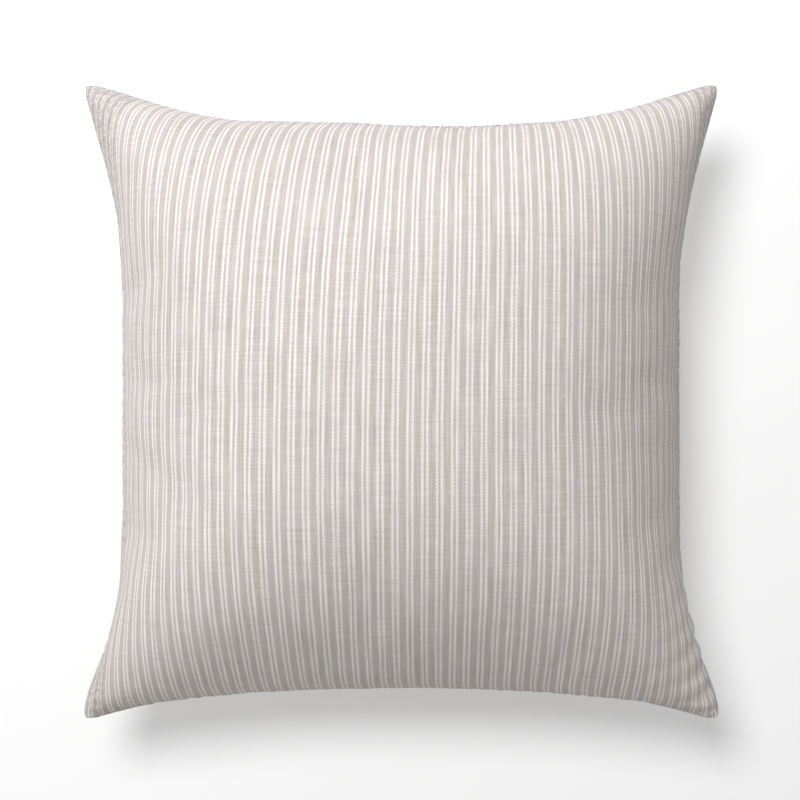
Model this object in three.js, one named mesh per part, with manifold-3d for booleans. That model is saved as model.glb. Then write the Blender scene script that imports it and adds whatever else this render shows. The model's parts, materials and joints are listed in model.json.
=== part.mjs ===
// Square knife-edge throw pillow: a striped woven cover closed by a concealed
// zip in its lower seam, and a fibre-filled insert inside it.
// Millimetres, +Z up. The pillow lies on its back face on the plane z = 0, its
// front face is up, and the zipped seam is on the -Y side.

import * as THREE from "three";
import { mergeVertices } from "three/addons/utils/BufferGeometryUtils.js";
import Module from "manifold-3d";

const wasm = await Module();
wasm.setup();

// ---- overall form -------------------------------------------------------
const waistHalfX = 206;        // centre line to the middle of a side seam
const topWaistY = 207.5;       // centre line to the middle of the top seam
const zipWaistY = 207.5;       // centre line to the middle of the zipped seam
const sidePull = 27;           // how far the tips stand past the middle of a side seam
const topTipRise = 26;         // how far the top corners stand past the top waist
const zipTipRise = 26;         // how far the lower corners stand past the zip waist
const frontCrown = 113;        // seam plane to the highest point of the front
const backDepth = 98;          // seam plane down to the resting face
const restPress = 15;          // how far the resting face is pressed up into the back
const domeFlatness = 2.6;      // how flat the top of a dome is
const domeSteepness = 0.6;     // how steeply a dome leaves its seam
const topEndFlare = [0.43, 0.66];  // where a side seam turns out towards its top tip
const zipEndFlare = [0.58, 0.4];   // the same towards its lower tip
const topSeamFlare = [0.48, 0.52]; // where the top seam turns out towards its tips

// ---- cloth ----------------------------------------------------------------
const coverCloth = 0.8;        // thickness of the woven cover
const insertCloth = 0.5;       // thickness of the insert's lining
const coverAllowance = 10;     // width of the cover's turned-in seam allowance
const insertAllowance = 6;
const clearance = 0.3;         // gap kept between pieces that touch
const seamGap = 0.3;           // gap between the front and back cloth at a seam

// ---- zip --------------------------------------------------------------------
const zipArcRadius = 1420;     // the zipped seam is a shallow arc in plan
const zipSlit = 1.8;           // width between the two folded lips over the zip
const lipDepth = 2.2;          // how far a folded lip reaches inwards
const tapeHalfLength = 160;
const tapeWidth = 8;
const tapeThickness = 0.5;
const tapeTail = 5;            // tape past each end of the coil
const coilWidth = 1.3;         // one row of the coil, across the zip
const coilDepth = 1.4;         // the same row, into the pillow
const dividerWidth = 1;        // the slider's wedge between the two rows
const sliderLength = 9;
const sliderPlate = 0.8;
const stopLength = 2.6;
const postWidth = 1.2;         // the slider's bail, where it passes the slit
const bailSpan = 4.8;
const bailBar = 0.8;
const tabLength = 16;
const tabWidth = 4.4;
const tabThickness = 0.7;
const tabEye = 2.7;            // length of the opening that rides on the bail
const tabEyeBar = 1;           // bar of the tab that the bail holds

// ---- thread -----------------------------------------------------------------
const threadSize = 0.5;
const seamThreadInset = 4.5;   // from the cover's seam to its row of stitches
const insertThreadInset = 4;   // the same on the insert
const overlockSize = 0.6;

// ---- worked out from the above --------------------------------------------
const seamZ = backDepth;
const tipHalfX = waistHalfX + sidePull;
const backFullness = backDepth + restPress;
const coilHalfLength = tapeHalfLength - tapeTail;
const mouthHalfLength = tapeHalfLength + 2 * stopLength;
const gridSteps = 16;
const arcSteps = 24;
const lipLift = zipSlit / 2;
const overlockInset = coverAllowance + clearance;
const insertInset = overlockInset + overlockSize + 2 * clearance;
const fillInset = insertInset + insertAllowance + clearance;
const coilInner = dividerWidth / 2 + clearance;
const plateOuterInset = lipDepth + clearance;
const coilInset = plateOuterInset + sliderPlate + clearance;
const plateInnerInset = coilInset + coilDepth + clearance;
const tapeInset = coilInset + (coilDepth - tapeThickness) / 2;
const tapeInner = coilInner + coilWidth + clearance;
const bodyHalfWidth = tapeInner + sliderPlate;
const pivotInset = -(clearance + Math.hypot(tabThickness, tabEyeBar) / 2);
const bailInset = 2 * pivotInset;
const sliderS = coilHalfLength - sliderLength / 2;
const zipCentreY = -(zipWaistY + zipArcRadius);

const colours = {
  cover: [0xcfc4bb, 0.92, 0], lining: [0xf1efea, 0.9, 0], fibre: [0xfafafa, 1, 0],
  thread: [0xd9cfc6, 0.8, 0], tape: [0xbcaea3, 0.85, 0], coil: [0xc9beb4, 0.45, 0],
  metal: [0xa89f96, 0.35, 0.9],
};

// ---- mesh helpers -----------------------------------------------------------

// One closed body from a list of corner points and a list of polygons.
function solidOf(points, polygons) {
  const indices = [];
  for (const polygon of polygons) {
    for (let k = 1; k + 1 < polygon.length; k += 1) {
      indices.push(polygon[0], polygon[k], polygon[k + 1]);
    }
  }
  const geometry = new THREE.BufferGeometry();
  geometry.setAttribute("position", new THREE.Float32BufferAttribute(points.flat(), 3));
  geometry.setIndex(indices);
  return geometry;
}

// A polygon's corners in the opposite order, starting from the same corner.
function turnedOver([first, ...rest]) {
  return [first, ...rest.reverse()];
}

function toManifold(geometry) {
  const bare = geometry.clone();
  bare.deleteAttribute("normal");
  bare.deleteAttribute("uv");
  const merged = mergeVertices(bare, 1e-4);
  return new wasm.Manifold(new wasm.Mesh({
    numProp: 3,
    vertProperties: new Float32Array(merged.attributes.position.array),
    triVerts: new Uint32Array(merged.index.array),
  }));
}

function fromManifold(manifold) {
  const mesh = manifold.getMesh();
  const geometry = new THREE.BufferGeometry();
  geometry.setAttribute("position", new THREE.BufferAttribute(mesh.vertProperties, 3));
  geometry.setIndex(new THREE.BufferAttribute(mesh.triVerts, 1));
  return geometry;
}

function boxBetween([x0, y0, z0], [x1, y1, z1]) {
  const box = new THREE.BoxGeometry(x1 - x0, y1 - y0, z1 - z0);
  box.translate((x0 + x1) / 2, (y0 + y1) / 2, (z0 + z1) / 2);
  return box;
}

function named(name, geometry, colourName) {
  const [color, roughness, metalness] = colours[colourName];
  geometry.computeVertexNormals();
  const mesh = new THREE.Mesh(
    geometry, new THREE.MeshStandardMaterial({ color, roughness, metalness }));
  mesh.name = name;
  return mesh;
}

// ---- outline ----------------------------------------------------------------

// How far the zipped seam lies below its waist at x: an arc, then the corner.
function zipSeamDrop(x) {
  const arc = zipArcRadius - Math.sqrt(zipArcRadius ** 2 - x ** 2);
  const tipArc = zipArcRadius - Math.sqrt(zipArcRadius ** 2 - tipHalfX ** 2);
  const past = Math.max(0, (Math.abs(x) - tapeHalfLength) / (tipHalfX - tapeHalfLength));
  return arc + (zipTipRise - tipArc) * past ** 2;
}

// How far a seam has turned out at t, 0 at its middle and 1 at its tip. The turn
// starts at a share of that length, and would be whole after a further share.
function flare(t, [start, reach]) {
  return THREE.MathUtils.smoothstep(t, start, start + reach)
    / THREE.MathUtils.smoothstep(1, start, start + reach);
}

// Plan position of grid point (u, v), both -1..1, on an outline drawn in by inset.
function planPoint(u, v, inset) {
  const sideFlare = sidePull * flare(Math.abs(v), v > 0 ? topEndFlare : zipEndFlare);
  const halfX = waistHalfX + sideFlare - inset;
  const halfY = v > 0
    ? topWaistY + topTipRise * flare(Math.abs(u), topSeamFlare) - inset
    : zipWaistY + zipSeamDrop(u * tipHalfX) - inset;
  return [u * halfX, v * halfY];
}

// Fraction of the full height that a dome has at grid point (u, v).
function domeHeight(u, v) {
  const across = 1 - Math.abs(u) ** domeFlatness;
  const along = 1 - Math.abs(v) ** domeFlatness;
  return Math.max(0, across * along) ** domeSteepness;
}

// Position of grid line j along the stripes, -1..1, closer together by the seams.
function gridV(j) {
  return Math.sin((Math.PI / 2) * (2 * j / gridSteps - 1));
}

// The same across the stripes: a quarter and three quarters of the way, a line
// falls on each end of the zip's mouth.
function gridU(i) {
  const even = 2 * i / gridSteps - 1;
  const mouth = Math.asin(mouthHalfLength / tipHalfX) * 2 / Math.PI;
  const past = Math.max(0, 2 * Math.abs(even) - 1);
  const angle = mouth * Math.min(1, 2 * Math.abs(even)) + (1 - mouth) * past;
  return Math.sign(even) * Math.sin((Math.PI / 2) * angle);
}

// The grid points of the square's edge, in order round it.
function rimIndices() {
  const rim = [];
  for (let k = 0; k < gridSteps; k += 1) rim.push([k, 0]);
  for (let k = 0; k < gridSteps; k += 1) rim.push([gridSteps, k]);
  for (let k = gridSteps; k > 0; k -= 1) rim.push([k, gridSteps]);
  for (let k = gridSteps; k > 0; k -= 1) rim.push([0, k]);
  return rim;
}

// True where rim point (i, j) lies on the stretch of seam that the zip closes.
function onZip([i, j]) {
  return j === 0 && 4 * i >= gridSteps && 4 * i <= 3 * gridSteps;
}

// A grid cell's corners, starting where its diagonal runs towards the middle.
function cellCorners(i, j) {
  const corners = [[i, j], [i + 1, j], [i + 1, j + 1], [i, j + 1]];
  const towardsMiddle = (i < gridSteps / 2) === (j < gridSteps / 2);
  return towardsMiddle ? corners : [...corners.slice(1), corners[0]];
}

function onRim([i, j]) {
  return i === 0 || j === 0 || i === gridSteps || j === gridSteps;
}

// ---- shells and fill ----------------------------------------------------------

// Height of a dome's surface: the back is flat where the pillow rests on it.
function domeZ(u, v, side, inset, baseLift) {
  const base = seamZ + side * baseLift;
  const full = (side > 0 ? frontCrown : backFullness) - baseLift - inset;
  const rise = full * domeHeight(u, v);
  const limit = (side > 0 ? frontCrown : backDepth) - baseLift - inset;
  return base + side * Math.min(rise, limit);
}

// A cloth dome of one side with its turned-in allowance. The cloth's outer face
// leaves the outline drawn in by rimInset, and its crown by crownInset.
function clothShell({ side, rimInset, crownInset, cloth, allowance, zipped }) {
  const points = [];
  const polygons = [];
  const add = (x, y, z) => points.push([x, y, z]) - 1;
  const face = (...corners) => polygons.push(side > 0 ? corners : turnedOver(corners));
  const lift = (rimPoint) => (zipped && onZip(rimPoint) ? lipLift : seamGap / 2);
  const rim = rimIndices();

  const sheet = (depth) => {
    const ids = [];
    for (let i = 0; i <= gridSteps; i += 1) {
      ids.push([]);
      for (let j = 0; j <= gridSteps; j += 1) {
        const u = gridU(i);
        const v = gridV(j);
        const [x, y] = planPoint(u, v, rimInset + depth);
        const z = onRim([i, j])
          ? seamZ + side * (lift([i, j]) + depth)
          : domeZ(u, v, side, crownInset + depth, seamGap / 2 + depth);
        ids[i].push(add(x, y, z));
      }
    }
    return ids;
  };
  const outer = sheet(0);
  const inner = sheet(cloth);
  for (let i = 0; i < gridSteps; i += 1) {
    for (let j = 0; j < gridSteps; j += 1) {
      const cell = cellCorners(i, j);
      face(...cell.map(([a, b]) => outer[a][b]));
      face(...turnedOver(cell.map(([a, b]) => inner[a][b])));
    }
  }

  const lip = (height) => rim.map(([i, j]) => {
    const width = zipped && onZip([i, j]) ? lipDepth : allowance;
    const [x, y] = planPoint(gridU(i), gridV(j), rimInset + width);
    return add(x, y, seamZ + side * (lift([i, j]) + height));
  });
  const rings = [rim.map(([i, j]) => outer[i][j]), lip(0), lip(cloth),
    rim.map(([i, j]) => inner[i][j])];
  for (let r = 0; r + 1 < rings.length; r += 1) {
    rim.forEach((_, k) => {
      const next = (k + 1) % rim.length;
      face(rings[r][k], rings[r + 1][k], rings[r + 1][next], rings[r][next]);
    });
  }
  return solidOf(points, polygons);
}

// The fibre fill: one closed body of both domes, inside the insert.
function fibreFill(crownInset) {
  const points = [];
  const polygons = [];
  const sheets = [1, -1].map((side) => {
    const ids = [];
    for (let i = 0; i <= gridSteps; i += 1) {
      ids.push([]);
      for (let j = 0; j <= gridSteps; j += 1) {
        const u = gridU(i);
        const v = gridV(j);
        const [x, y] = planPoint(u, v, fillInset);
        const z = onRim([i, j]) ? seamZ : domeZ(u, v, side, crownInset, seamGap);
        ids[i].push(points.push([x, y, z]) - 1);
      }
    }
    return ids;
  });
  const [front, back] = sheets;
  for (let i = 0; i < gridSteps; i += 1) {
    for (let j = 0; j < gridSteps; j += 1) {
      const cell = cellCorners(i, j);
      polygons.push(cell.map(([a, b]) => front[a][b]));
      polygons.push(turnedOver(cell.map(([a, b]) => back[a][b])));
    }
  }
  return mergeVertices(solidOf(points, polygons), 1e-4);
}

// ---- thread -------------------------------------------------------------------

// A square-section run of thread along a chain of plan points, closed or open.
function threadRun(plan, zLow, size, closed) {
  const points = [];
  const polygons = [];
  plan.forEach(([outer, inner]) => {
    points.push([...outer, zLow], [...inner, zLow], [...inner, zLow + size], [...outer, zLow + size]);
  });
  const last = closed ? plan.length : plan.length - 1;
  for (let k = 0; k < last; k += 1) {
    const a = 4 * k;
    const b = 4 * ((k + 1) % plan.length);
    for (let c = 0; c < 4; c += 1) {
      const d = (c + 1) % 4;
      polygons.push([a + c, a + d, b + d, b + c]);
    }
  }
  if (!closed) {
    const end = 4 * (plan.length - 1);
    polygons.push([3, 2, 1, 0], [end, end + 1, end + 2, end + 3]);
  }
  return solidOf(points, polygons);
}

// Pairs of plan points, at inset and inset + size, round the whole outline or
// round all of it but the zip. The cover's stitching cuts across each tip.
function runRoundSeam(inset, size, { leaveOutZip, cutTips }) {
  let rim = rimIndices();
  if (cutTips) rim = rim.filter(([i, j]) => i % gridSteps || j % gridSteps);
  if (leaveOutZip) {
    const start = rim.findIndex((point, k) => k > 0 && onZip(rim[k - 1]) && !onZip(point));
    rim = [...rim.slice(start), ...rim.slice(0, start)].filter((point) => !onZip(point));
  }
  return rim.map(([i, j]) => {
    const [u, v] = [gridU(i), gridV(j)];
    return [planPoint(u, v, inset), planPoint(u, v, inset + size)];
  });
}

// ---- zip ----------------------------------------------------------------------

// Point at arc length s along the zip, inset into the pillow from the seam.
function zipPoint(s, inset) {
  const angle = s / zipArcRadius;
  const radius = zipArcRadius + inset;
  return [radius * Math.sin(angle), zipCentreY + radius * Math.cos(angle)];
}

// A bar that follows the zip from s0 to s1, between two insets and two heights
// over the seam plane.
function zipBar(s0, s1, [inset0, inset1], [low, high], steps) {
  const plan = [];
  for (let k = 0; k <= steps; k += 1) {
    const s = s0 + ((s1 - s0) * k) / steps;
    plan.push([zipPoint(s, inset0), zipPoint(s, inset1)]);
  }
  return threadRun(plan, seamZ + low, high - low, false);
}

const mirrored = (side, low, high) => (side > 0 ? [low, high] : [-high, -low]);

function zipTape(side) {
  return zipBar(-tapeHalfLength, tapeHalfLength, [tapeInset, tapeInset + tapeThickness],
    mirrored(side, tapeInner, tapeInner + tapeWidth), arcSteps);
}

function zipCoil(side) {
  return zipBar(-coilHalfLength, coilHalfLength, [coilInset, coilInset + coilDepth],
    mirrored(side, coilInner, coilInner + coilWidth), arcSteps);
}

function zipStitch(side) {
  const inset = tapeInset + tapeThickness + clearance;
  const height = tapeInner + tapeWidth / 2;
  return zipBar(-tapeHalfLength + stopLength, tapeHalfLength - stopLength,
    [inset, inset + threadSize], mirrored(side, height, height + threadSize), arcSteps);
}

function zipStop(end) {
  const from = end * (coilHalfLength + clearance);
  const to = from + end * stopLength;
  const half = coilInner + coilWidth;
  return zipBar(Math.min(from, to), Math.max(from, to), [coilInset, coilInset + coilDepth],
    [-half, half], 1);
}

// The slider in its own frame: x along the zip, y into the pillow from the seam,
// z across the zip. Two plates, their rims, the dividing wedge and the bail.
function sliderBody() {
  const halfLength = sliderLength / 2;
  const coilTop = coilInner + coilWidth + clearance;
  const rimOuterEnd = tapeInset - clearance;
  const rimInnerStart = tapeInset + tapeThickness + clearance;
  const plateOuterEnd = plateOuterInset + sliderPlate;
  const plateInnerEnd = plateInnerInset + sliderPlate;
  const blocks = [
    boxBetween([-halfLength, plateOuterInset, -bodyHalfWidth],
      [halfLength, plateOuterEnd, bodyHalfWidth]),
    boxBetween([-halfLength, plateInnerInset, -bodyHalfWidth],
      [halfLength, plateInnerEnd, bodyHalfWidth]),
    boxBetween([halfLength - 3, plateOuterInset, -dividerWidth / 2],
      [halfLength, plateInnerEnd, dividerWidth / 2]),
  ];
  for (const sign of [-1, 1]) {
    const [low, high] = sign > 0 ? [coilTop, bodyHalfWidth] : [-bodyHalfWidth, -coilTop];
    blocks.push(boxBetween([-halfLength, plateOuterInset, low], [halfLength, rimOuterEnd, high]));
    blocks.push(boxBetween([-halfLength, rimInnerStart, low], [halfLength, plateInnerEnd, high]));
    const [from, to] = sign > 0
      ? [bailSpan / 2 - bailBar, bailSpan / 2] : [-bailSpan / 2, bailBar - bailSpan / 2];
    blocks.push(boxBetween([from, bailInset - bailBar, -postWidth / 2],
      [to, plateOuterEnd, postWidth / 2]));
  }
  blocks.push(boxBetween([-bailSpan / 2, bailInset - bailBar, -postWidth / 2],
    [bailSpan / 2, bailInset, postWidth / 2]));
  const body = blocks.map(toManifold).reduce((sum, block) => sum.add(block));
  return fromManifold(body);
}

// The pull tab in the slider's frame, lying along the seam towards -x.
function pullTab() {
  const half = tabWidth / 2;
  const eyeHalf = postWidth / 2 + clearance;
  const pivotEnd = tabEyeBar / 2;
  const outline = new THREE.Shape();
  outline.moveTo(pivotEnd, -half);
  outline.lineTo(pivotEnd, half);
  outline.lineTo(half - tabLength, half);
  outline.absarc(half - tabLength, 0, half, Math.PI / 2, 1.5 * Math.PI, false);
  outline.lineTo(pivotEnd, -half);
  const eye = new THREE.Path();
  eye.moveTo(-pivotEnd, -eyeHalf);
  eye.lineTo(-pivotEnd - tabEye, -eyeHalf);
  eye.lineTo(-pivotEnd - tabEye, eyeHalf);
  eye.lineTo(-pivotEnd, eyeHalf);
  eye.lineTo(-pivotEnd, -eyeHalf);
  outline.holes.push(eye);
  const plate = new THREE.ExtrudeGeometry(outline,
    { depth: tabThickness, bevelEnabled: false, curveSegments: 8 });
  plate.translate(0, 0, -tabThickness / 2);
  plate.rotateX(Math.PI / 2);
  plate.translate(0, pivotInset, 0);
  return fromManifold(toManifold(plate));
}

// Sets a mesh built in the slider's frame on the zip at arc length s.
function onZipAt(mesh, s) {
  const [x, y] = zipPoint(s, 0);
  mesh.position.set(x, y, seamZ);
  mesh.rotation.z = -s / zipArcRadius;
  return mesh;
}

// ---- assembly -----------------------------------------------------------------

const pillow = new THREE.Group();
pillow.name = "throw_pillow";

const coverLayer = { rimInset: 0, crownInset: 0, cloth: coverCloth,
  allowance: coverAllowance, zipped: true };
const insertCrown = coverCloth + clearance;
const insertLayer = { rimInset: insertInset, crownInset: insertCrown, cloth: insertCloth,
  allowance: insertAllowance, zipped: false };
const fillCrown = insertCrown + insertCloth + clearance;

pillow.add(named("cover_front", clothShell({ side: 1, ...coverLayer }), "cover"));
pillow.add(named("cover_back", clothShell({ side: -1, ...coverLayer }), "cover"));

const seamThread = runRoundSeam(seamThreadInset, threadSize, { leaveOutZip: true, cutTips: true });
const needleLift = seamGap / 2 + coverCloth + clearance;
pillow.add(named("seam_needle_thread",
  threadRun(seamThread, seamZ + needleLift, threadSize, false), "thread"));
pillow.add(named("seam_bobbin_thread",
  threadRun(seamThread, seamZ - needleLift - threadSize, threadSize, false), "thread"));
const overlockHalf = seamGap / 2 + coverCloth;
pillow.add(named("overlock_thread",
  threadRun(runRoundSeam(overlockInset, overlockSize, { leaveOutZip: true }), seamZ - overlockHalf,
    2 * overlockHalf, false), "thread"));

for (const [side, word] of [[1, "front"], [-1, "back"]]) {
  pillow.add(named(`zip_tape_${word}`, zipTape(side), "tape"));
  pillow.add(named(`zip_coil_${word}`, zipCoil(side), "coil"));
  pillow.add(named(`zip_stitch_${word}`, zipStitch(side), "thread"));
}
pillow.add(named("zip_stop_left", zipStop(-1), "metal"));
pillow.add(named("zip_stop_right", zipStop(1), "metal"));
pillow.add(onZipAt(named("zip_slider", sliderBody(), "metal"), sliderS));
pillow.add(onZipAt(named("zip_pull_tab", pullTab(), "metal"), sliderS));

pillow.add(named("insert_shell_front", clothShell({ side: 1, ...insertLayer }), "lining"));
pillow.add(named("insert_shell_back", clothShell({ side: -1, ...insertLayer }), "lining"));
pillow.add(named("insert_seam_thread",
  threadRun(runRoundSeam(insertInset + insertThreadInset, threadSize, {}),
    seamZ + seamGap / 2 + insertCloth + clearance, threadSize, true), "thread"));
pillow.add(named("fibre_fill", fibreFill(fillCrown), "fibre"));

export default pillow;
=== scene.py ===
import json
import math
from functools import partial

import bmesh
import bpy
import numpy as np
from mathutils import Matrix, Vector


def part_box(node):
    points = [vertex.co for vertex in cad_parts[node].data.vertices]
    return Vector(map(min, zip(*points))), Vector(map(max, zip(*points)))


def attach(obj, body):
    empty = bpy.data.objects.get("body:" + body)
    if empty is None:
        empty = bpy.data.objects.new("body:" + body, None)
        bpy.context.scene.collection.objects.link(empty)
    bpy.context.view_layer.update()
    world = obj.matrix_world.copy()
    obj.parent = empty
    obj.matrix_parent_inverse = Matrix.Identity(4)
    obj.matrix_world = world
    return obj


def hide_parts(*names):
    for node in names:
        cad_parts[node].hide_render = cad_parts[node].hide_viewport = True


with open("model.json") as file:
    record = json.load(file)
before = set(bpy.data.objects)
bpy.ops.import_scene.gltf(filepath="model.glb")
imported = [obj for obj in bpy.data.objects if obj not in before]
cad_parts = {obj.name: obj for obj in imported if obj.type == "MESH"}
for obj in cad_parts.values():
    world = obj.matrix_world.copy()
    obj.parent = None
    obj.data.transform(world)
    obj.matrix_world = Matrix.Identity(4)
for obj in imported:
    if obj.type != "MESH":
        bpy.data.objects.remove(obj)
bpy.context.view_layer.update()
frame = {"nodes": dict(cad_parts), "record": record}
scene = bpy.context.scene
mm = 0.001
bothSides = ((1, "Front"), (-1, "Back"))

# the pillow's outline and heights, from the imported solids
frontLow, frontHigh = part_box("cover_front")
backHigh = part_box("cover_back")[1]
tipHalfX = frontHigh.x
tipHalfY = frontHigh.y
seamZ = (frontLow.z + backHigh.z) / 2
crownHeight = frontHigh.z - seamZ

outline = {
    "sidePull": 27 * mm,    # tip to waist on the left and right seams
    "endPull": 26 * mm,     # the same on the top and zipped seams
    "topEndFlare": (0.43, 0.66),  # share of a side seam where it turns out, and over how much
    "zipEndFlare": (0.58, 0.40),  # the same towards the zipped seam
    "topSeamFlare": (0.49, 0.56),
    "topDip": 4 * mm,       # the top seam has sunk in beside its middle
    "topDipAt": 0.17,
    "topDipReach": 0.24,
    "zipArcRadius": 1420 * mm,
    "zipTipDrop": 3.2 * mm,  # the zipped seam's tips past the arc
    "zipTipStart": 0.72,    # from this share of the half seam on
    "lipRoll": 3.5 * mm,    # the cloth rolls out past the zipped seam's fold
    "tipReserve": 4 * mm,   # the rounding takes this off again
    "tipReservePower": 12,
}
waistHalfX = tipHalfX - outline["sidePull"]
endWaistY = tipHalfY - outline["endPull"]


def softStep(t):
    t = np.clip(t, 0, 1)
    return t * t * (3 - 2 * t)


# 0 on a seam and nearly 1 past the reach
def awayShare(distance, reach):
    return 1 - np.exp(-(distance / reach) ** 2)


# how far a seam has turned out at t, 0 at its middle and 1 at its tip
def flare(t, startAndReach):
    start, reach = startAndReach
    return softStep((t - start) / reach) / softStep((1 - start) / reach)


# u and v run from -1 to 1 over the cloth, and inset draws the outline in
def planPoint(u, v, inset=0.0):
    reserve = outline["tipReserve"] * (np.abs(u * v)) ** outline["tipReservePower"]
    turnOut = np.where(v > 0, flare(np.abs(v), outline["topEndFlare"]),
                       flare(np.abs(v), outline["zipEndFlare"]))
    halfX = waistHalfX + outline["sidePull"] * turnOut + reserve - inset
    dip = outline["topDip"] * np.exp(-((u - outline["topDipAt"]) / outline["topDipReach"]) ** 4)
    top = endWaistY + outline["endPull"] * flare(np.abs(u), outline["topSeamFlare"]) - dip
    radius = outline["zipArcRadius"]
    arc = radius - np.sqrt(radius ** 2 - (u * tipHalfX) ** 2)
    start = outline["zipTipStart"]
    tipDrop = outline["zipTipDrop"] * softStep((np.abs(u) - start) / (1 - start))
    bottom = endWaistY + outline["lipRoll"] + arc + tipDrop
    halfY = np.where(v > 0, top, bottom) + reserve - inset
    return u * halfX, v * halfY


cloth = {
    "cutSize": 508 * mm,
    "cells": 64,
    "frames": 45,
    "drawFrames": 22,       # the seams draw in over these
    "lift": 12 * mm,        # how far the flat panels start apart in the middle
}
clothSolver = {             # under the solver's own names
    "quality": 8,
    "mass": 0.12,
    "tension_stiffness": 40.0,
    "compression_stiffness": 12.0,
    "shear_stiffness": 3.0,
    "bending_stiffness": 0.25,
    "vertex_group_mass": "seam",
    "use_pressure": True,
    "uniform_pressure_force": 6.0,
}
halfCut = cloth["cutSize"] / 2


def placeObject(name, data):
    item = bpy.data.objects.new(name, data)
    scene.collection.objects.link(item)
    return item


def evaluated(item):
    return item.evaluated_get(bpy.context.evaluated_depsgraph_get())


# two flat panels sewn together round their edge, blown up while the seam draws in
def simulateCover():
    n = cloth["cells"]
    side = np.arange(n + 1)
    number = {}
    flat, drawn, rim = [], [], []

    def keyOf(sheet, i, j):
        onRim = i in (0, n) or j in (0, n)
        return (0 if onRim else sheet, i, j)

    for sheet in (1, -1):
        for j in side:
            for i in side:
                key = keyOf(sheet, i, j)
                if key in number:
                    continue
                u, v = 2 * i / n - 1, 2 * j / n - 1
                lift = cloth["lift"] * math.cos(u * math.pi / 2) * math.cos(v * math.pi / 2)
                number[key] = len(flat)
                flat.append((u * halfCut, v * halfCut, sheet * lift))
                x, y = planPoint(u, v)
                drawn.append(flat[-1] if key[0] else (float(x), float(y), 0.0))
                if not key[0]:
                    rim.append(number[key])
    faces = []
    for sheet in (1, -1):
        for j in range(n):
            for i in range(n):
                ring = [(i, j), (i + 1, j), (i + 1, j + 1), (i, j + 1)]
                ids = [number[keyOf(sheet, *corner)] for corner in ring]
                faces.append(ids if sheet > 0 else ids[::-1])
    mesh = bpy.data.meshes.new("sewnPanels")
    mesh.from_pydata(flat, [], faces)
    panels = placeObject("sewnPanels", mesh)
    panels.shape_key_add(name="cut")
    draw = panels.shape_key_add(name="drawnIn")
    for k, point in enumerate(drawn):
        draw.data[k].co = point
    draw.value = 0
    draw.keyframe_insert("value", frame=1)
    draw.value = 1
    draw.keyframe_insert("value", frame=cloth["drawFrames"])
    panels.vertex_groups.new(name="seam").add(rim, 1.0, "REPLACE")
    modifier = panels.modifiers.new("cloth", "CLOTH")
    for label, value in clothSolver.items():
        setattr(modifier.settings, label, value)
    modifier.settings.effector_weights.gravity = 0
    modifier.collision_settings.use_collision = False
    modifier.point_cache.frame_start = 1
    modifier.point_cache.frame_end = cloth["frames"]
    for step in range(1, cloth["frames"] + 1):
        scene.frame_set(step)
    result = evaluated(panels).to_mesh()
    place = np.zeros(len(result.vertices) * 3)
    result.vertices.foreach_get("co", place)
    place = place.reshape(-1, 3)
    grids = {}
    for sheet in (1, -1):
        grids[sheet] = np.array([[place[number[keyOf(sheet, i, j)]] for j in side] for i in side])
        print("simulated panel", sheet, "height", round(np.abs(grids[sheet][..., 2]).max(), 4))
    action = mesh.shape_keys.animation_data.action
    bpy.data.objects.remove(panels)
    bpy.data.meshes.remove(mesh)
    bpy.data.actions.remove(action)
    scene.frame_set(1)
    return grids


calm = {
    "step": 0.2,            # of the gap to its neighbours that a point moves at a time
    "spread": 22 * mm,      # wrinkles shorter than this are pressed out along a seam
    "seamMargin": 75 * mm,  # less so across a seam, within this distance of it
    "kept": 0.16,           # share of the wrinkles that stays
    "grain": 5 * mm,        # smoothing of everything
}


# presses the cloth solver's wrinkles out and keeps a share of them
def calmWrinkles(grid):
    n = grid.shape[0] - 1
    cell = cloth["cutSize"] / n
    cut = (np.arange(1, n) / n - 0.5) * cloth["cutSize"]
    openness = softStep((halfCut - np.abs(cut)) / calm["seamMargin"])

    def spread(points, size, alongX, alongY):
        points = points.copy()
        for _ in range(max(1, round((size / cell) ** 2 / (2 * calm["step"])))):
            middle = points[1:-1, 1:-1]
            acrossX = points[2:, 1:-1] + points[:-2, 1:-1] - 2 * middle
            acrossY = points[1:-1, 2:] + points[1:-1, :-2] - 2 * middle
            points[1:-1, 1:-1] += calm["step"] * (alongX * acrossX + alongY * acrossY)
        return points

    base = spread(grid, calm["grain"], 1.0, 1.0)
    calmed = spread(base, calm["spread"], openness[:, None, None], openness[None, :, None])
    return calmed + calm["kept"] * (base - calmed)


panel = {
    "cells": 236,
    "wall": 0.8 * mm,
    "tipRounding": 13 * mm,  # in the cloth, measured along each seam
    "lean": 0.035,          # the crown has settled towards +x
    "restBlend": 6 * mm,    # how softly the back turns into its resting patch
    "restPress": 0.3 * mm,  # and how much the floor presses it
    "seamHalfGap": 0.12 * mm,
    "gapReach": 2 * mm,
    "fullness": 5.0 * mm,   # the fill pushes the walls out, most by their middles
    "fullnessReach": 0.36,
    "fullnessBand": (0.3, 0.75, 0.8),  # across a panel: where it starts, is full and falls off
    "sideRoll": (0.8 * mm, 6.5 * mm),  # how far front and back roll out past a side seam
    "topRoll": (0.0, 6.5 * mm),
    "zipRoll": (4.5 * mm, 4.5 * mm),
    "rollStart": 8 * mm,
    "rollFade": 45 * mm,
    "groove": 1.1 * mm,     # how deep the seam lies between the two panels
    "grooveReach": 2.6 * mm,
    "zipGrooveReach": 6 * mm,
}
seamRows = np.array([0, 0.6, 1.3, 2.2, 3.4, 5.0]) * mm


# cut positions of the grid lines, close together beside the seams
def clothLines(cells):
    inner = cells - 2 * (len(seamRows) - 1)
    low = -halfCut + seamRows
    middle = np.linspace(low[-1], -low[-1], inner + 1)
    return np.concatenate([low[:-1], middle, -low[:-1][::-1]])


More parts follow.
